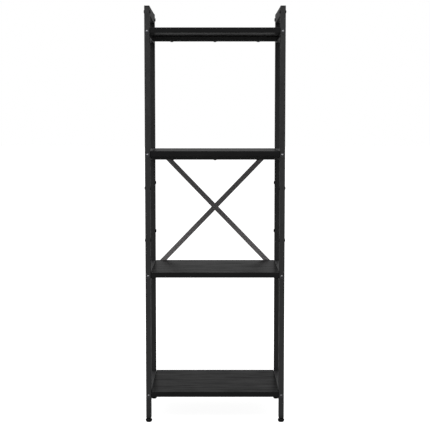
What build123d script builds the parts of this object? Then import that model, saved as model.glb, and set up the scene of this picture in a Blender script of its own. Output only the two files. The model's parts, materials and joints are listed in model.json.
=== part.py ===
"""Open bookcase: four bolted steel posts, four fixed shelf boards, an X brace and levelling feet.

Millimetres, +X right, +Y to the back, +Z up. The origin is on the floor, below the
middle of the bookcase.
"""

from build123d import *
from math import atan2, cos, hypot, sin
import os

os.makedirs("parts", exist_ok=True)

# ---------------------------------------------------------------- driving dimensions

width = 400.0
depth = 300.0
height = 1198.0

# Rectangular posts, in an upper and a lower length that butt together over a sleeve.
post_x = 15.0
post_y = 20.0
wall = 1.2
corner_radius = 1.6
deburr = 0.3
post_bottom = 20.0
post_split = 606.5
cap_thickness = 2.0

# Side rails and cross bars.
rail_height = 27.0
bar_size = 15.0
fit_gap = 0.1

# Shelf boards.
board_thickness = 15.0
board_gap = 1.0
board_front_setback = 1.0
board_back_setback = 4.0
first_shelf_top = 90.0
shelf_pitch = 349.0

# Sleeves inside the post joints, and how far the joint bolts stand from the split.
sleeve_length = 190.0
joint_bolt_offset = 75.0
corner_bolt_drop = 16.5
corner_leg = 40.0

# M6 bolts and their nuts.
bolt_radius = 3.0
thread_gap = 0.05
bolt_hole_radius = 3.2
nut_barrel_radius = 4.0
nut_barrel_length = 9.0
nut_hole_radius = 4.1
nut_head_height = 2.4
rail_bolt_head_radius = 5.9
rail_bolt_head_height = 2.6
side_bolt_head_radius = 5.0
side_bolt_head_height = 2.1
hex_socket_radius = 2.3
end_nut_length = 20.0
bar_bolt_drop = 21.0

# Wood screws.
screw_radius = 2.0
pilot_radius = 2.05
screw_hole_radius = 2.2
screw_bite = 10.0
bar_screw_spacing = 127.5
bar_screw_head_radius = 4.5
brace_screw_head_radius = 4.0
screw_head_height = 2.0
screw_head_rim = 0.6

# Support tabs welded to the rails and posts under the board's corners.
tab_length = 14.5
tab_width = 20.0
tab_thickness = 2.0
tab_corner_radius = 2.0
tab_offset = 135.0
tab_screw_head_radius = 6.3
tab_screw_head_height = 3.0

# Cross brace of two flat strips.
brace_width = 15.0
brace_thickness = 2.0
brace_end_x = 168.4
rivet_radius = 2.5
rivet_head_radius = 4.6
rivet_head_height = 1.8

# Levelling feet.
foot_radius = 9.5
foot_base_radius = 6.6
foot_neck_radius = 7.0
foot_rim_bottom = 6.2
foot_rim_top = 7.4
foot_neck_bottom = 9.8
foot_height = 13.0
collar_bottom = 13.4
stem_bottom = 4.0
stem_top = 40.0
insert_top = 46.0

# ---------------------------------------------------------------- derived places

post_cx = width / 2 - post_x / 2
post_cy = depth / 2 - post_y / 2
inner_x = width / 2 - post_x
rail_half_length = depth / 2 - post_y
post_top = height - cap_thickness
corner_bolt_z = height - corner_bolt_drop
joint_bolt_heights = (post_split - joint_bolt_offset, post_split + joint_bolt_offset)
board_front = -depth / 2 + board_front_setback
board_back = depth / 2 - board_back_setback
board_size_x = 2 * (inner_x - board_gap)
board_size_y = board_back - board_front
board_centre_y = (board_front + board_back) / 2
inside_x = post_x - 2 * wall
inside_y = post_y - 2 * wall
inside_rail = rail_height - 2 * wall
inside_bar = bar_size - 2 * wall

corners = {
    "front_left": (-1, -1),
    "front_right": (1, -1),
    "rear_left": (-1, 1),
    "rear_right": (1, 1),
}
sides = {"left": -1, "right": 1}
shelves = {
    name: first_shelf_top + number * shelf_pitch
    for number, name in enumerate(("bottom", "lower", "upper", "top"))
}


def save(piece, label):
    """Name the finished piece and write its STEP file."""
    piece.part.label = label
    export_step(piece.part, f"parts/{label}.step")


def tube_section(size_u, size_v):
    """Draw a rounded rectangular tube section in the open sketch."""
    RectangleRounded(size_u, size_v, corner_radius)
    RectangleRounded(size_u - 2 * wall, size_v - 2 * wall, corner_radius / 2, mode=Mode.SUBTRACT)


def deburr_ends(tube, axis):
    """Break the outer edges of the tube's two sawn ends, which stand square to the axis."""
    faces = tube.faces().sort_by(axis)
    for face in (faces[0], faces[-1]):
        chamfer(face.outer_wire().edges(), deburr)


def plug_section(size_u, size_v):
    """Draw the section of a piece that slides into a tube with these inner sizes."""
    RectangleRounded(size_u - 2 * fit_gap, size_v - 2 * fit_gap, corner_radius / 2)


def outside_plane(side, y, z):
    """Plane on the outer side face of the frame, facing outwards."""
    return Plane(origin=(side * width / 2, y, z), x_dir=(0, 1, 0), z_dir=(side, 0, 0))


def inside_plane(side, y, z):
    """Plane on the inner face of a post or rail, facing the middle of the bookcase."""
    return Plane(origin=(side * inner_x, y, z), x_dir=(0, 1, 0), z_dir=(-side, 0, 0))


def end_plane(side, end, z):
    """Plane on the front (end -1) or back (end 1) face of a post, facing outwards."""
    return Plane(origin=(side * post_cx, end * depth / 2, z), x_dir=(1, 0, 0), z_dir=(0, end, 0))


# ---------------------------------------------------------------- posts

def side_bolt_holes(side, end, heights):
    """Cut a bolt hole from outside and a wider nut hole from inside at each height."""
    for z in heights:
        with Locations(outside_plane(side, end * post_cy, z)):
            Hole(bolt_hole_radius, depth=post_x / 2)
        with Locations(inside_plane(side, end * post_cy, z)):
            Hole(nut_hole_radius, depth=post_x / 2)


def rail_bolt_holes(side, end, heights):
    """Cut a front-to-back bolt hole through the post at each height."""
    for z in heights:
        with Locations(end_plane(side, end, z)):
            Hole(bolt_hole_radius, depth=post_y)


def rail_bolt_z(shelf_top):
    return shelf_top - rail_height / 2


def make_lower_post(side, end):
    with BuildPart() as post:
        with BuildSketch(Plane(origin=(side * post_cx, end * post_cy, post_bottom))):
            tube_section(post_x, post_y)
        extrude(amount=post_split - post_bottom)
        deburr_ends(post, Axis.Z)
        side_bolt_holes(side, end, joint_bolt_heights[:1])
        rail_bolt_holes(side, end, [rail_bolt_z(shelves[name]) for name in ("bottom", "lower")])
    return post


def make_upper_post(side, end):
    with BuildPart() as post:
        with BuildSketch(Plane(origin=(side * post_cx, end * post_cy, post_split))):
            tube_section(post_x, post_y)
        extrude(amount=post_top - post_split)
        deburr_ends(post, Axis.Z)
        side_bolt_holes(side, end, (joint_bolt_heights[1], corner_bolt_z))
        rail_bolt_holes(side, end, [rail_bolt_z(shelves[name]) for name in ("upper", "top")])
        # Notch in the wall that faces the top rail, where the corner piece passes through.
        with Locations((side * post_cx, end * (rail_half_length + wall / 2), post_top)):
            Box(
                inside_x,
                2 * wall,
                2 * (post_top - height + rail_height - wall),
                mode=Mode.SUBTRACT,
            )
    return post


def make_sleeve(side, end):
    """Inner tube that bridges the split between the lower and the upper post."""
    with BuildPart() as sleeve:
        with BuildSketch(Plane(origin=(side * post_cx, end * post_cy, post_split - sleeve_length / 2))):
            plug_section(inside_x, inside_y)
            Rectangle(inside_x - 2 * wall, inside_y - 2 * wall, mode=Mode.SUBTRACT)
        extrude(amount=sleeve_length)
        side_bolt_holes(side, end, joint_bolt_heights)
    return sleeve


# ---------------------------------------------------------------- top corners and rails

def make_top_corner(side, end):
    """Moulded corner: a leg down the post, a leg into the top rail, and a cap on the post."""
    with BuildPart() as corner:
        with BuildSketch(Plane(origin=(side * post_cx, end * post_cy, post_top - corner_leg))):
            plug_section(inside_x, inside_y)
        extrude(amount=corner_leg)
        chamfer(corner.edges().group_by(Axis.Z)[0], 0.5)
        with BuildSketch(Plane(origin=(side * post_cx, end * post_cy, post_top))):
            RectangleRounded(post_x, post_y, corner_radius)
        extrude(amount=cap_thickness)
        fillet(corner.edges().group_by(Axis.Z)[-1], 0.8)
        # The leg in the rail starts inside the post, well clear of its walls.
        with BuildSketch(
            Plane(
                origin=(side * post_cx, end * post_cy, height - rail_height / 2),
                x_dir=(1, 0, 0),
                z_dir=(0, -end, 0),
            )
        ):
            plug_section(inside_x, inside_rail)
        extrude(amount=corner_leg)
        with Locations(outside_plane(side, end * post_cy, corner_bolt_z)):
            Hole(nut_hole_radius)
    return corner


def make_top_rail(side):
    with BuildPart() as rail:
        with BuildSketch(
            Plane(
                origin=(side * post_cx, -rail_half_length, height - rail_height / 2),
                x_dir=(1, 0, 0),
                z_dir=(0, 1, 0),
            )
        ):
            tube_section(post_x, rail_height)
        extrude(amount=2 * rail_half_length)
        deburr_ends(rail, Axis.Y)
    return rail


def make_side_rail(side, shelf_top):
    """Rail between the posts, level with the board, drilled for the centre bar's bolt."""
    with BuildPart() as rail:
        with BuildSketch(
            Plane(
                origin=(side * post_cx, -rail_half_length, shelf_top - rail_height / 2),
                x_dir=(1, 0, 0),
                z_dir=(0, 1, 0),
            )
        ):
            tube_section(post_x, rail_height)
        extrude(amount=2 * rail_half_length)
        deburr_ends(rail, Axis.Y)
        with Locations(outside_plane(side, 0, shelf_top - bar_bolt_drop)):
            Hole(bolt_hole_radius, depth=post_x)
    return rail


# ---------------------------------------------------------------- shelves

def tab_centres():
    """The four places, in plan, where a tab carries a board."""
    x = inner_x - tab_length / 2
    return [(side * x, end * tab_offset) for side in (-1, 1) for end in (-1, 1)]


def bar_screw_xs():
    return (-bar_screw_spacing, 0, bar_screw_spacing)


def make_board(shelf_top, braced):
    """Shelf board with eased edges and blind pilot holes, in its back edge too if braced."""
    underside = shelf_top - board_thickness
    with BuildPart() as board:
        with BuildSketch(Plane(origin=(0, board_centre_y, underside))):
            Rectangle(board_size_x, board_size_y)
        extrude(amount=board_thickness)
        fillet(board.edges(), 0.6)
        screw_places = tab_centres() + [(x, 0) for x in bar_screw_xs()]
        with Locations(*[Plane(origin=(x, y, underside), z_dir=(0, 0, -1)) for x, y in screw_places]):
            Hole(pilot_radius, depth=screw_bite + 0.5)
        if braced:
            with Locations(*[brace_screw_plane(side, shelf_top) for side in (-1, 1)]):
                Hole(pilot_radius, depth=2 * screw_bite + 0.5)
    return board


def make_tab():
    """Flat lug, drilled for one screw, that hangs below its origin along Z."""
    with BuildPart() as tab:
        with BuildSketch():
            RectangleRounded(tab_length, tab_width, tab_corner_radius)
        extrude(amount=tab_thickness)
        Hole(screw_hole_radius)
    return tab


def make_centre_bar(shelf_top):
    """Square tube across the bookcase under the middle of a board."""
    with BuildPart() as bar:
        centre_z = shelf_top - board_thickness - bar_size / 2
        with BuildSketch(Plane(origin=(-inner_x, 0, centre_z), x_dir=(0, 1, 0), z_dir=(1, 0, 0))):
            tube_section(bar_size, bar_size)
        extrude(amount=2 * inner_x)
        deburr_ends(bar, Axis.X)
        with Locations(*[Plane(origin=(x, 0, centre_z), z_dir=(0, 0, -1)) for x in bar_screw_xs()]):
            Hole(screw_hole_radius)
    return bar


# ---------------------------------------------------------------- cross brace

brace_rise = (shelves["upper"] - shelves["lower"]) / 2
brace_angle = atan2(brace_rise, brace_end_x)
brace_half = hypot(brace_end_x, brace_rise)
brace_centre_z = (shelves["upper"] + shelves["lower"]) / 2 - board_thickness / 2


def brace_screw_plane(side, shelf_top):
    """Plane on the board's back edge where a brace ends, facing the back."""
    return Plane(
        origin=(side * brace_end_x, board_back, shelf_top - board_thickness / 2),
        x_dir=(1, 0, 0),
        z_dir=(0, 1, 0),
    )


def brace_plane(slope):
    """Plane through the brace's middle: X runs along the strip and Y to the back."""
    return Plane(
        origin=(0, board_back, brace_centre_z),
        x_dir=(cos(brace_angle), 0, slope * sin(brace_angle)),
        z_dir=(-slope * sin(brace_angle), 0, cos(brace_angle)),
    )


def drill_brace(slope):
    """Drill the strip for its two end screws and the rivet at its middle."""
    for side in (-1, 1):
        shelf_top = shelves["upper"] if side * slope > 0 else shelves["lower"]
        with Locations(brace_screw_plane(side, shelf_top)):
            Hole(screw_hole_radius)
    with Locations(Plane(origin=(0, board_back, brace_centre_z), z_dir=(0, 1, 0))):
        Hole(rivet_radius + 0.05)


def make_flat_brace(slope):
    with BuildPart() as strip:
        with BuildSketch(brace_plane(slope)):
            with Locations((0, brace_thickness / 2)):
                Rectangle(2 * brace_half + brace_width, brace_thickness)
        extrude(amount=brace_width / 2, both=True)
        fillet(strip.edges().filter_by(Axis.Y), brace_width / 2 - 0.3)
        drill_brace(slope)
    return strip


def make_joggled_brace(slope):
    """The second strip steps back by its own thickness where it crosses the first."""
    half = brace_half + brace_width / 2
    flat = brace_width / 2 + 5
    step = flat + 14
    inner_line = [
        (-half, 0),
        (-step, 0),
        (-flat, brace_thickness),
        (flat, brace_thickness),
        (step, 0),
        (half, 0),
    ]
    outer_line = [(u, v + brace_thickness) for u, v in inner_line]
    with BuildPart() as strip:
        with BuildSketch(brace_plane(slope)):
            with BuildLine():
                FilletPolyline(*inner_line, radius=20)
                FilletPolyline(*outer_line, radius=20)
                Line(inner_line[0], outer_line[0])
                Line(inner_line[-1], outer_line[-1])
            make_face()
        extrude(amount=brace_width / 2, both=True)
        fillet(strip.edges().filter_by(Axis.Y), brace_width / 2 - 0.3)
        drill_brace(slope)
    return strip


# ---------------------------------------------------------------- levelling feet

def make_foot_insert(side, end):
    """Plug in the post's lower end, with a collar below it and a threaded bore."""
    with BuildPart() as insert:
        with BuildSketch(Plane(origin=(side * post_cx, end * post_cy, collar_bottom))):
            RectangleRounded(post_x, post_y, corner_radius)
        extrude(amount=post_bottom - collar_bottom)
        fillet(insert.edges().group_by(Axis.Z)[0], 0.6)
        with BuildSketch(Plane(origin=(side * post_cx, end * post_cy, post_bottom))):
            plug_section(inside_x, inside_y)
        extrude(amount=insert_top - post_bottom)
        with Locations((side * post_cx, end * post_cy, insert_top)):
            Hole(bolt_radius + thread_gap)
    return insert


def make_foot_pad(side, end):
    """Round glide with a curved underside, a flat resting face and a neck that holds the stem."""
    axis_plane = Plane(origin=(side * post_cx, end * post_cy, 0), x_dir=(1, 0, 0), z_dir=(0, -1, 0))
    with BuildPart() as pad:
        with BuildSketch(axis_plane):
            with BuildLine():
                Line((0, 0), (foot_base_radius, 0))
                TangentArc((foot_radius, foot_rim_bottom), (foot_base_radius, 0), tangent=(0, -1))
                Line((foot_radius, foot_rim_bottom), (foot_radius, foot_rim_top))
                Line((foot_radius, foot_rim_top), (foot_neck_radius, foot_neck_bottom))
                Line((foot_neck_radius, foot_neck_bottom), (foot_neck_radius, foot_height))
                Line((foot_neck_radius, foot_height), (0, foot_height))
                Line((0, foot_height), (0, 0))
            make_face()
        revolve(axis=Axis((side * post_cx, end * post_cy, 0), (0, 0, 1)))
        with Locations((side * post_cx, end * post_cy, foot_height)):
            Hole(bolt_radius + thread_gap, depth=foot_height - stem_bottom)
    return pad


def make_foot_stem(side, end):
    """M6 stem, with a chamfered top, that screws up into the insert."""
    with BuildPart() as stem:
        with BuildSketch(Plane(origin=(side * post_cx, end * post_cy, stem_bottom))):
            Circle(bolt_radius)
        extrude(amount=stem_top - stem_bottom)
        chamfer(stem.edges().group_by(Axis.Z)[-1], 0.8)
    return stem


# ---------------------------------------------------------------- fasteners

def make_bolt(head_radius, head_height, shank_length):
    """Button-head bolt along Z: the head stands above the origin and the shank below it."""
    with BuildPart() as bolt:
        with BuildSketch(Plane.XZ):
            with BuildLine():
                Line((0, -shank_length), (bolt_radius - 0.6, -shank_length))
                Line((bolt_radius - 0.6, -shank_length), (bolt_radius, -shank_length + 0.6))
                Line((bolt_radius, -shank_length + 0.6), (bolt_radius, 0))
                Line((bolt_radius, 0), (head_radius, 0))
                Line((head_radius, 0), (head_radius, 0.25 * head_height))
                TangentArc((0, head_height), (head_radius, 0.25 * head_height), tangent=(1, 0))
                Line((0, head_height), (0, -shank_length))
            make_face()
        revolve(axis=Axis.Z)
        with BuildSketch(Plane.XY.offset(head_height)):
            RegularPolygon(hex_socket_radius, 6)
        extrude(amount=-0.6 * head_height, mode=Mode.SUBTRACT)
    return bolt


def make_cap_nut():
    """Barrel nut along Z: a flat round head above the origin and a threaded barrel below it."""
    with BuildPart() as nut:
        with BuildSketch(Plane.XY.offset(-nut_barrel_length)):
            Circle(nut_barrel_radius)
        extrude(amount=nut_barrel_length)
        with BuildSketch():
            Circle(side_bolt_head_radius)
        extrude(amount=nut_head_height)
        fillet(nut.edges().group_by(Axis.Z)[-1], 1.0)
        with Locations(Plane(origin=(0, 0, -nut_barrel_length), z_dir=(0, 0, -1))):
            Hole(bolt_radius + thread_gap, depth=nut_barrel_length)
        with BuildSketch(Plane.XY.offset(nut_head_height)):
            RegularPolygon(hex_socket_radius, 6)
        extrude(amount=-0.6 * nut_head_height, mode=Mode.SUBTRACT)
    return nut


def make_screw(shank_length, head_radius, head_height):
    """Pan-head wood screw along Z, with a tapered tip and a cross recess in the head."""
    tip = 2.5 * screw_radius
    rim = screw_head_rim * head_height
    with BuildPart() as screw:
        with BuildSketch(Plane.XZ):
            with BuildLine():
                Line((0, -shank_length), (screw_radius, -shank_length + tip))
                Line((screw_radius, -shank_length + tip), (screw_radius, 0))
                Line((screw_radius, 0), (head_radius, 0))
                Line((head_radius, 0), (head_radius, rim))
                TangentArc((0, head_height), (head_radius, rim), tangent=(1, 0))
                Line((0, head_height), (0, -shank_length))
            make_face()
        revolve(axis=Axis.Z)
        with BuildSketch(Plane.XY.offset(head_height)):
            Rectangle(head_radius, 0.9)
            Rectangle(0.9, head_radius)
        extrude(amount=-0.6 * head_height, mode=Mode.SUBTRACT)
    return screw


def make_end_nut(size_u, size_v, bore_offset):
    """Block that plugs a tube end along -Z from the origin, with a threaded bore."""
    with BuildPart() as block:
        with BuildSketch(Plane.XY.offset(-end_nut_length)):
            plug_section(size_u, size_v)
        extrude(amount=end_nut_length)
        chamfer(block.edges().group_by(Axis.Z)[0], 0.5)
        with Locations((0, bore_offset, 0)):
            Hole(bolt_radius + thread_gap)
    return block


def make_rivet():
    """Domed rivet through both strips of the brace, along Y."""
    grip = 2 * brace_thickness
    profile_plane = Plane(origin=(0, board_back, brace_centre_z), x_dir=(0, 0, 1), z_dir=(-1, 0, 0))
    with BuildPart() as rivet:
        with BuildSketch(profile_plane):
            with BuildLine():
                # Local X runs up and local Y to the back.
                Line((0, -rivet_head_height), (0, grip + rivet_head_height))
                TangentArc((0, grip + rivet_head_height), (rivet_head_radius, grip), tangent=(1, 0))
                Line((rivet_head_radius, grip), (rivet_radius, grip))
                Line((rivet_radius, grip), (rivet_radius, 0))
                Line((rivet_radius, 0), (rivet_head_radius, 0))
                TangentArc((0, -rivet_head_height), (rivet_head_radius, 0), tangent=(1, 0))
            make_face()
        revolve(axis=Axis((0, 0, brace_centre_z), (0, 1, 0)))
    return rivet


def save_group(piece, places, label):
    """Place one copy of the piece on each plane and write them as one node."""
    with BuildPart() as group:
        with Locations(*places):
            add(piece.part)
    save(group, label)


# ---------------------------------------------------------------- write every piece

for corner_name, (side, end) in corners.items():
    save(make_lower_post(side, end), f"lower_post_{corner_name}")
    save(make_upper_post(side, end), f"upper_post_{corner_name}")
    save(make_sleeve(side, end), f"post_sleeve_{corner_name}")
    save(make_top_corner(side, end), f"top_corner_{corner_name}")
    save(make_foot_insert(side, end), f"foot_insert_{corner_name}")
    save(make_foot_pad(side, end), f"foot_pad_{corner_name}")
    save(make_foot_stem(side, end), f"foot_stem_{corner_name}")

for side_name, side in sides.items():
    save(make_top_rail(side), f"top_rail_{side_name}")
    for shelf_name, shelf_top in shelves.items():
        save(make_side_rail(side, shelf_top), f"side_rail_{shelf_name}_{side_name}")

for shelf_name, shelf_top in shelves.items():
    save(make_centre_bar(shelf_top), f"centre_bar_{shelf_name}")
    save(make_board(shelf_top, shelf_name in ("lower", "upper")), f"shelf_board_{shelf_name}")

save(make_flat_brace(-1), "brace_falling")
save(make_joggled_brace(1), "brace_rising")
save(make_rivet(), "brace_rivet")

all_corners = list(corners.values())
tops = list(shelves.values())

save_group(
    make_tab(),
    [
        Plane(origin=(x, y, top - board_thickness), z_dir=(0, 0, -1))
        for top in tops
        for x, y in tab_centres()
    ],
    "support_tabs",
)
save_group(
    make_screw(tab_thickness + screw_bite, tab_screw_head_radius, tab_screw_head_height),
    [
        Plane(origin=(x, y, top - board_thickness - tab_thickness), z_dir=(0, 0, -1))
        for top in tops
        for x, y in tab_centres()
    ],
    "tab_screws",
)
save_group(
    make_screw(bar_size + screw_bite, bar_screw_head_radius, screw_head_height),
    [
        Plane(origin=(x, 0, top - board_thickness - bar_size), z_dir=(0, 0, -1))
        for top in tops
        for x in bar_screw_xs()
    ],
    "bar_screws",
)
save_group(
    make_screw(brace_thickness + 2 * screw_bite, brace_screw_head_radius, screw_head_height),
    [
        brace_screw_plane(side, shelves[name]).offset(brace_thickness)
        for name in ("lower", "upper")
        for side in (-1, 1)
    ],
    "brace_screws",
)
save_group(
    make_bolt(rail_bolt_head_radius, rail_bolt_head_height, post_y + end_nut_length - 2),
    [end_plane(side, end, rail_bolt_z(top)) for top in tops for side, end in all_corners],
    "shelf_bolts",
)
save_group(
    make_end_nut(inside_x, inside_rail, 0),
    [
        end_plane(side, end, rail_bolt_z(top)).offset(-post_y)
        for top in tops
        for side, end in all_corners
    ],
    "rail_end_nuts",
)
save_group(
    make_bolt(side_bolt_head_radius, side_bolt_head_height, post_x - 3),
    [
        outside_plane(side, end * post_cy, z)
        for z in (*joint_bolt_heights, corner_bolt_z)
        for side, end in all_corners
    ],
    "post_joint_bolts",
)
save_group(
    make_cap_nut(),
    [
        inside_plane(side, end * post_cy, z)
        for z in (*joint_bolt_heights, corner_bolt_z)
        for side, end in all_corners
    ],
    "cap_nuts",
)
save_group(
    make_bolt(side_bolt_head_radius, side_bolt_head_height, post_x + end_nut_length - 2),
    [outside_plane(side, 0, top - bar_bolt_drop) for top in tops for side in sides.values()],
    "bar_end_bolts",
)
save_group(
    make_end_nut(inside_bar, inside_bar, board_thickness + bar_size / 2 - bar_bolt_drop),
    [
        Plane(
            origin=(side * inner_x, 0, top - board_thickness - bar_size / 2),
            x_dir=(0, side, 0),
            z_dir=(side, 0, 0),
        )
        for top in tops
        for side in sides.values()
    ],
    "bar_end_nuts",
)
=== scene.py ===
"""Looks for the open bookcase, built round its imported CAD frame, in metres.

+X right, +Y to the back, +Z up, with the origin on the floor below the middle.
"""
import json
import math

import bmesh
import bpy
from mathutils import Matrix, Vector


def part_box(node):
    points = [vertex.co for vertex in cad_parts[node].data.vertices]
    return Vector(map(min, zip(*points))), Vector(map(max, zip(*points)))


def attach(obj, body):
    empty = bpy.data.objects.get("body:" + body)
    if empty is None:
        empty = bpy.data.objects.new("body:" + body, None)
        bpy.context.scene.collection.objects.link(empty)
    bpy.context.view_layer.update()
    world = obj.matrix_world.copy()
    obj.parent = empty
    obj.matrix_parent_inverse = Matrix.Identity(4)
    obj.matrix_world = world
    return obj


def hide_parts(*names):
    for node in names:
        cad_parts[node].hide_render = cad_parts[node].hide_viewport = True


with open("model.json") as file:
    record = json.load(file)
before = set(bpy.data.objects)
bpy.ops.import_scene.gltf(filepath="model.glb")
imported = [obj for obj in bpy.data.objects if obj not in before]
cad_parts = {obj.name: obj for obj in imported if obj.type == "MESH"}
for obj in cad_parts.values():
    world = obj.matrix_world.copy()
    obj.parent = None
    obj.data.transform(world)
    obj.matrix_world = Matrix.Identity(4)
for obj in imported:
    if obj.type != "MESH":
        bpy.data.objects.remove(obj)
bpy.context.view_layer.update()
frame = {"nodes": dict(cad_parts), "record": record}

MM = 0.001
CORNERS = ("front_left", "front_right", "rear_left", "rear_right")
SHELVES = ("bottom", "lower", "upper", "top")
SIDES = {"left": -1, "right": 1}

# Pairs of colours, dark then light, that a finish wanders between.
FRAME_COAT = ((0.0110, 0.0110, 0.0112), (0.0148, 0.0148, 0.0151))
BRACE_COAT = ((0.156, 0.148, 0.151), (0.177, 0.167, 0.170))
GRAIN = ((0.0016, 0.0016, 0.0017), (0.0060, 0.0060, 0.0062))
BLACK_OXIDE = ((0.045, 0.045, 0.048), (0.070, 0.070, 0.074))
PHOSPHATE = ((0.0060, 0.0060, 0.0062), (0.0105, 0.0105, 0.0107))
BLACK_PLASTIC = ((0.0045, 0.0045, 0.0048), (0.0070, 0.0070, 0.0073))
GREY_PLASTIC = ((0.0160, 0.0160, 0.0162), (0.0200, 0.0200, 0.0203))
ZINC = ((0.50, 0.50, 0.49), (0.64, 0.64, 0.62))

# Single colours: the broad figure in the boards' grain, and the boards' front and back edges.
BOARD_FIGURE = (0.0034, 0.0034, 0.0035)
BOARD_EDGE = (0.0085, 0.0085, 0.0087)


# ------------------------------------------------------------------ materials

class Look:
    """A node material with one Principled shader, and short calls that add nodes to it."""

    def __init__(self, name, **settings):
        self.material = bpy.data.materials.new(name)
        self.material.use_nodes = True
        self.tree = self.material.node_tree
        self.tree.nodes.clear()
        output = self.tree.nodes.new("ShaderNodeOutputMaterial")
        self.shader = self.tree.nodes.new("ShaderNodeBsdfPrincipled")
        self.tree.links.new(self.shader.outputs["BSDF"], output.inputs["Surface"])
        for socket, value in settings.items():
            self.set(self.shader.inputs[socket.replace("_", " ")], value)

    def set(self, socket, value):
        """Link the socket if the value is another node's output, or else give it the value."""
        if isinstance(value, bpy.types.NodeSocket):
            self.tree.links.new(value, socket)
        else:
            socket.default_value = value

    def node(self, kind, output, *values, **properties):
        """Add a node, fill its inputs in order, and return one of its outputs."""
        node = self.tree.nodes.new("ShaderNode" + kind)
        for name, value in properties.items():
            setattr(node, name, value)
        for socket, value in zip(node.inputs, values):
            if value is not None:
                self.set(socket, value)
        return node.outputs[output]

    def place(self, stretch=(1, 1, 1)):
        """The point on the object in metres, times stretch."""
        point = self.node("TexCoord", "Object")
        return self.node("VectorMath", "Vector", point, stretch, operation="MULTIPLY")

    def noise(self, scale, detail=2.0, stretch=(1, 1, 1)):
        """Fractal noise, mostly near 0.5, with about scale times stretch features to the metre."""
        return self.node("TexNoise", "Fac", self.place(stretch), None, scale, detail)

    def remap(self, value, low, high, from_low=0.35, from_high=0.65):
        """The value clamped to a range, by default one that suits noise, and moved to low..high."""
        return self.node("MapRange", "Result", value, from_low, from_high, low, high)

    def math(self, operation, first, second=0.0):
        """One step of arithmetic. The second value counts only where the operation takes two."""
        return self.node("Math", "Value", first, second, operation=operation)

    def blend(self, factor, first, second):
        """A colour between two others."""
        mix = self.tree.nodes.new("ShaderNodeMix")
        mix.data_type = "RGBA"
        self.set(mix.inputs["Factor"], factor)
        for socket, colour in ((mix.inputs[6], first), (mix.inputs[7], second)):
            self.set(socket, (*colour, 1) if isinstance(colour, tuple) else colour)
        return mix.outputs[2]

    def bump(self, height, depth, under=None):
        """Raise the surface by depth where height is 1, on top of another bump."""
        bump = self.tree.nodes.new("ShaderNodeBump")
        bump.inputs["Distance"].default_value = depth
        self.set(bump.inputs["Height"], height)
        if under is not None:
            self.set(bump.inputs["Normal"], under)
        return bump.outputs["Normal"]

    def finish(self, colour, roughness, normal):
        """Wire up the shader and return the material."""
        self.set(self.shader.inputs["Base Color"], colour)
        self.set(self.shader.inputs["Roughness"], roughness)
        self.set(self.shader.inputs["Normal"], normal)
        return self.material


def powder_coat(name, colours):
    """Baked satin powder: a soft orange peel with a finer grain in it."""
    look = Look(name, Specular_IOR_Level=0.30)
    peel = look.noise(420, detail=1.5)
    grain = look.noise(2600, detail=1.0)
    cloud = look.noise(9, detail=3.0)
    colour = look.blend(look.remap(cloud, 0, 1), *colours)
    roughness = look.remap(look.noise(60), 0.38, 0.48)
    normal = look.bump(peel, 0.10 * MM)
    return look.finish(colour, roughness, look.bump(grain, 0.012 * MM, normal))


def wood_laminate():
    """Black melamine: grain embossed along X, an uneven sheen, plainer front and back edges."""
    look = Look("black_wood_laminate")
    streaks = look.noise(1.0, detail=4.0, stretch=(4, 110, 110))
    pores = look.noise(1.0, detail=2.0, stretch=(30, 950, 950))
    figure = look.noise(1.0, detail=3.0, stretch=(1.5, 22, 22))
    outside_pores = look.remap(pores, 0, 1, 0.30, 0.48)
    normal_y = look.node("SeparateXYZ", "Y", look.node("NewGeometry", "Normal"))
    on_edge = look.remap(look.math("ABSOLUTE", normal_y), 0, 1, 0.6, 0.8)
    grain = look.blend(look.remap(streaks, 0, 1), *GRAIN)
    grain = look.blend(look.remap(figure, 0, 0.5), grain, BOARD_FIGURE)
    colour = look.blend(on_edge, grain, BOARD_EDGE)
    sheen = look.noise(1.0, detail=5.0, stretch=(12, 60, 60))
    look.set(look.shader.inputs["Specular IOR Level"], look.remap(sheen, 0.018, 0.058))
    roughness = look.remap(outside_pores, 0.38, 0.30, 0, 1)
    normal = look.bump(streaks, 0.06 * MM)
    return look.finish(colour, roughness, look.bump(outside_pores, 0.05 * MM, normal))


def black_bolt():
    """Black-oxide steel with a slightly uneven gloss."""
    look = Look("black_oxide_bolt", Metallic=0.85)
    marks = look.noise(1400, detail=2.0)
    colour = look.blend(look.noise(300), *BLACK_OXIDE)
    return look.finish(colour, look.remap(marks, 0.28, 0.36), look.bump(marks, 0.01 * MM))


def phosphated_steel():
    """Small fasteners with a matt phosphate finish, almost black."""
    look = Look("phosphated_steel", Specular_IOR_Level=0.10)
    crust = look.noise(1600, detail=2.0)
    colour = look.blend(look.noise(240), *PHOSPHATE)
    return look.finish(colour, look.remap(crust, 0.55, 0.70), look.bump(crust, 0.02 * MM))


def moulded_plastic(name, colours):
    """Polypropylene with a fine spark-eroded texture."""
    look = Look(name, Specular_IOR_Level=0.08)
    spark = look.noise(1900, detail=2.0)
    colour = look.blend(look.noise(70), *colours)
    return look.finish(colour, look.remap(spark, 0.46, 0.60), look.bump(spark, 0.03 * MM))


def zinc_plate():
    """Bright zinc with small crystals in it."""
    look = Look("zinc_plate", Metallic=1.0)
    crystals = look.node("TexVoronoi", "Color", look.place(), None, 700.0)
    fleck = look.node("SeparateXYZ", "X", crystals)
    colour = look.blend(fleck, *ZINC)
    return look.finish(colour, look.remap(fleck, 0.28, 0.42, 0, 1), look.bump(fleck, 0.004 * MM))


# Nodes whose finish isn't their slot's.
BRACE_NODES = ("brace_falling", "brace_rising", "brace_rivet")
MATT_NODES = ("tab_screws", "bar_screws", "brace_screws", "cap_nuts", "post_joint_bolts")
PLUG_NODES = tuple(f"foot_insert_{corner}" for corner in CORNERS)


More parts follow.
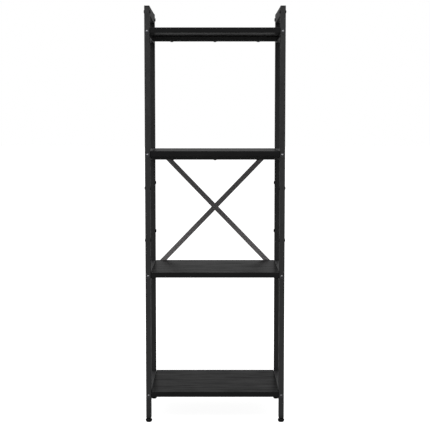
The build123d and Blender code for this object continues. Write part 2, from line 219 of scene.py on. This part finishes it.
def dress_nodes():
    """Give every CAD node its material, and return the materials of the slots."""
    slot_looks = {
        "black_steel": powder_coat("black_powder_coat", FRAME_COAT),
        "shelf_board": wood_laminate(),
        "black_bolts": black_bolt(),
        "black_plastic": moulded_plastic("black_moulded_plastic", BLACK_PLASTIC),
        "zinc_steel": zinc_plate(),
    }
    for part in frame["record"]["subparts"]:
        materials = frame["nodes"][part["node"]].data.materials
        materials.clear()
        materials.append(slot_looks[part["material_slot"]])
    own_looks = (
        (BRACE_NODES, powder_coat("grey_black_strip_coat", BRACE_COAT)),
        (PLUG_NODES, moulded_plastic("grey_black_moulded_plastic", GREY_PLASTIC)),
        (MATT_NODES, phosphated_steel()),
    )
    for nodes, material in own_looks:
        for node in nodes:
            frame["nodes"][node].data.materials[0] = material
    return slot_looks


# ------------------------------------------------------------------ pieces

# The feet's M6 stems.
THREAD_PITCH = 1.0 * MM
THREAD_DEPTH = 0.5 * MM
STEM_CHAMFER = 0.8 * MM
STEM_SEGMENTS = 20
RINGS_PER_TURN = 6

# Support tabs: their thickness, and their distance from the middle along Y.
TAB_THICKNESS = 2.0 * MM
TAB_OFFSET = 135.0 * MM

# Tack welds: offset from the tab's middle along Y, length, radius and what is sunk in the steel.
TACK_OFFSET = 7.0 * MM
TACK_LENGTH = 5.0 * MM
TACK_RADIUS = 1.5 * MM
TACK_BURIED = 0.3 * MM
TACK_RIPPLES = 3
TACK_RIPPLE_DEPTH = 0.12
TACK_END_FULLNESS = 0.25
TACK_RINGS = 15
TACK_ARC_STEPS = 6


def add_loft(mesh, rings):
    """Join closed rings of points, all of one length, into a skin with flat ends."""
    loops = [[mesh.verts.new(point) for point in ring] for ring in rings]
    for lower, upper in zip(loops, loops[1:]):
        for start in range(len(lower)):
            after = (start + 1) % len(lower)
            mesh.faces.new((lower[start], lower[after], upper[after], upper[start]))
    mesh.faces.new(loops[0])
    mesh.faces.new(loops[-1])


def make_piece(name, lofts, body, material):
    """One smooth-shaded piece made of lofts, which rides on a body."""
    mesh = bmesh.new()
    for rings in lofts:
        add_loft(mesh, rings)
    bmesh.ops.recalc_face_normals(mesh, faces=mesh.faces)
    data = bpy.data.meshes.new(name)
    mesh.to_mesh(data)
    mesh.free()
    data.shade_smooth()
    data.materials.append(material)
    piece = bpy.data.objects.new(name, data)
    bpy.context.scene.collection.objects.link(piece)
    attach(piece, body)
    return piece


def make_threaded_stem(corner, material):
    """The foot's M6 stem with its real thread, right-handed, and a chamfered top."""
    node = f"foot_stem_{corner}"
    low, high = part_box(node)
    height = high[2] - low[2]
    middle_x = (low[0] + high[0]) / 2
    middle_y = (low[1] + high[1]) / 2
    outer = (high[0] - low[0]) / 2
    ring_count = round(height / THREAD_PITCH * RINGS_PER_TURN)
    rings = []
    for number in range(ring_count + 1):
        z = low[2] + height * number / ring_count
        chamfered = outer - STEM_CHAMFER + high[2] - z
        ring = []
        for segment in range(STEM_SEGMENTS):
            turn = segment / STEM_SEGMENTS
            # 1 on the thread's crest and 0 in its root, once a pitch.
            ridge = abs(2 * ((z / THREAD_PITCH - turn) % 1) - 1)
            radius = min(outer - THREAD_DEPTH * (1 - ridge), chamfered)
            angle = turn * math.tau
            ring.append((middle_x + radius * math.cos(angle), middle_y + radius * math.sin(angle), z))
        rings.append(ring)
    stem = make_piece(f"threaded_stem_{corner}", [rings], f"foot_{corner}", material)
    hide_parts(node)


def tack_rings(side, x, y, z):
    """A short rippled bead along Y in the corner between a rail's face and a tab's underside."""
    rings = []
    for number in range(TACK_RINGS + 1):
        along = number / TACK_RINGS
        ripple = 1 - TACK_RIPPLE_DEPTH * (1 - abs(math.sin(TACK_RIPPLES * math.pi * along)))
        fullness = max(TACK_END_FULLNESS, math.sin(math.pi * along)) ** 0.5
        radius = TACK_RADIUS * ripple * fullness
        y_here = y + TACK_LENGTH * (along - 0.5)
        ring = [(x + side * TACK_BURIED, y_here, z + TACK_BURIED)]
        for step in range(TACK_ARC_STEPS + 1):
            angle = math.pi / 2 * step / TACK_ARC_STEPS
            ring.append((x - side * radius * math.cos(angle), y_here, z - radius * math.sin(angle)))
        rings.append(ring)
    return rings


def make_tab_welds(material):
    """Two coated tack welds under every support tab, one on each side of its screw."""
    beads = []
    for shelf in SHELVES:
        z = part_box(f"shelf_board_{shelf}")[0][2] - TAB_THICKNESS
        for side_name, side in SIDES.items():
            low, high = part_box(f"side_rail_{shelf}_{side_name}")
            x = low[0] if side > 0 else high[0]
            for tab_y in (-TAB_OFFSET, TAB_OFFSET):
                for offset in (-TACK_OFFSET, TACK_OFFSET):
                    beads.append(tack_rings(side, x, tab_y + offset, z))
    make_piece("tab_welds", beads, "frame", material)


# ------------------------------------------------------------------ stage, light and camera

# The floor's side in metres, its own grey, and how brightly the camera alone sees it glow.
FLOOR_SIZE = 60
FLOOR_GREY = (0.3, 0.3, 0.3)
FLOOR_GLOW = 0.95

# Strength of the studio's dome at the horizon in front, at the horizon behind, and overhead.
FRONT_GLOW = 0.25
BACK_GLOW = 0.175
TOP_GLOW = 1.0

# The middle of the bookcase, which both softboxes face.
LIGHT_TARGET = (0, 0, 0.6)

# Sensor and lens in millimetres, place in metres, and degrees down from level.
SENSOR_WIDTH = 36
FOCAL_LENGTH = 96.59
CAMERA_PLACE = (0, -3.440, 0.888)
CAMERA_TILT = 4.912


def make_floor():
    """A plain pale floor that glows for the camera alone, so that shadows on it stay faint."""
    bpy.ops.mesh.primitive_plane_add(size=FLOOR_SIZE, location=(0, 0, 0))
    floor = bpy.context.object
    floor.name = "floor"
    look = Look("studio_floor", Roughness=0.9, Specular_IOR_Level=0.0)
    look.shader.inputs["Base Color"].default_value = (*FLOOR_GREY, 1)
    look.shader.inputs["Emission Color"].default_value = (1, 1, 1, 1)
    seen = look.node("LightPath", "Is Camera Ray")
    look.set(look.shader.inputs["Emission Strength"], look.math("MULTIPLY", seen, FLOOR_GLOW))
    floor.data.materials.append(look.material)


def make_world():
    """White to the camera; to everything else a soft dome, brightest overhead, darkest behind."""
    world = bpy.data.worlds.new("studio")
    world.use_nodes = True
    bpy.context.scene.world = world
    nodes = world.node_tree.nodes
    links = world.node_tree.links
    background = nodes["Background"]
    background.inputs["Color"].default_value = (1, 1, 1, 1)

    direction = nodes.new("ShaderNodeTexCoord")
    axes = nodes.new("ShaderNodeSeparateXYZ")
    links.new(direction.outputs["Generated"], axes.inputs[0])

    def remap(value, from_low, from_high, low, high):
        node = nodes.new("ShaderNodeMapRange")
        for socket, number in zip(node.inputs, (value, from_low, from_high, low, high)):
            if isinstance(number, bpy.types.NodeSocket):
                links.new(number, socket)
            else:
                socket.default_value = number
        return node.outputs["Result"]

    horizon = remap(axes.outputs["Y"], -1.0, 1.0, FRONT_GLOW, BACK_GLOW)
    dome = remap(axes.outputs["Z"], 0.0, 1.0, horizon, TOP_GLOW)
    seen = nodes.new("ShaderNodeLightPath").outputs["Is Camera Ray"]
    links.new(remap(seen, 0.0, 1.0, dome, 1.0), background.inputs["Strength"])


def make_softbox(name, location, size, power):
    """A square area light, its size in metres and its power in watts."""
    data = bpy.data.lights.new(name, "AREA")
    data.shape = "SQUARE"
    data.size = size
    data.energy = power
    light = bpy.data.objects.new(name, data)
    light.location = location
    light.rotation_euler = (Vector(LIGHT_TARGET) - Vector(location)).to_track_quat("-Z", "Y").to_euler()
    bpy.context.scene.collection.objects.link(light)


def make_camera():
    """The camera stands straight in front, a little above the middle, and looks slightly down."""
    data = bpy.data.cameras.new("camera")
    data.sensor_width = SENSOR_WIDTH
    data.lens = FOCAL_LENGTH
    data.clip_end = 100
    camera = bpy.data.objects.new("camera", data)
    camera.location = CAMERA_PLACE
    camera.rotation_euler = (math.radians(90 - CAMERA_TILT), 0, 0)
    bpy.context.scene.collection.objects.link(camera)
    bpy.context.scene.camera = camera


make_floor()
make_world()
make_softbox("overhead_softbox", (0.2, -0.3, 6.0), size=5.0, power=240)
make_softbox("front_softbox", (-0.5, -3.8, 4.8), size=3.0, power=280)
make_camera()
bpy.context.scene.view_settings.view_transform = "Standard"
looks = dress_nodes()
for corner in CORNERS:
    make_threaded_stem(corner, looks["zinc_steel"])
make_tab_welds(looks["black_steel"])
